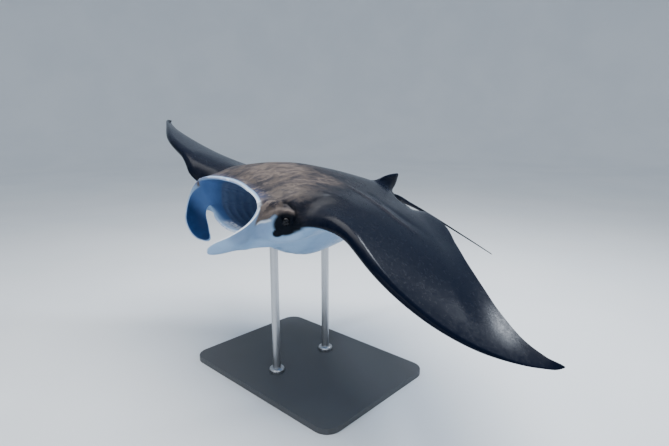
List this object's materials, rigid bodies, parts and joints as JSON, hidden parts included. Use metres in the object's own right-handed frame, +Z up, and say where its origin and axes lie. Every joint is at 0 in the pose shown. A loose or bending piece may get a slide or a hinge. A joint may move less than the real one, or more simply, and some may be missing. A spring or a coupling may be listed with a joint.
{
  "type": "manta ray model",
  "caption": "Life-size still display model of a feeding reef manta ray with open mouth and bent wings, held over the floor by a flat stand with upright rods.",
  "frame": {"origin": "on the floor under the stand base, straight below the point of the animal's midline that lies 0.5 m behind its upper lip, near the middle of the disc", "axes": "+Z up; the animal faces -Y with its left wing towards +X"},
  "size_m": [2.8472, 2.584, 1.3965],
  "materials": {
    "skin": "smooth wet skin, blackish above with brown-grey mottling on the head, white below",
    "eye": "glossy dark eye",
    "stand_base": "satin dark paint",
    "stand_rod": "satin steel"
  },
  "bodies": {
    "root": {"head": "skin", "lower_jaw": "skin", "trunk": "skin", "cephalic_lobe_left": "skin", "cephalic_lobe_right": "skin", "pectoral_fin_left_inner": "skin", "pectoral_fin_left_outer": "skin", "pectoral_fin_right_inner": "skin", "pectoral_fin_right_outer": "skin", "pelvic_fin_left": "skin", "pelvic_fin_right": "skin", "dorsal_fin": "skin", "tail_base": "skin", "tail_middle": "skin", "tail_tip": "skin", "eye_left": "eye", "eye_right": "eye", "stand_base": "stand_base", "stand_rod_front": "stand_rod", "stand_rod_rear": "stand_rod"}
  },
  "joints": []
}
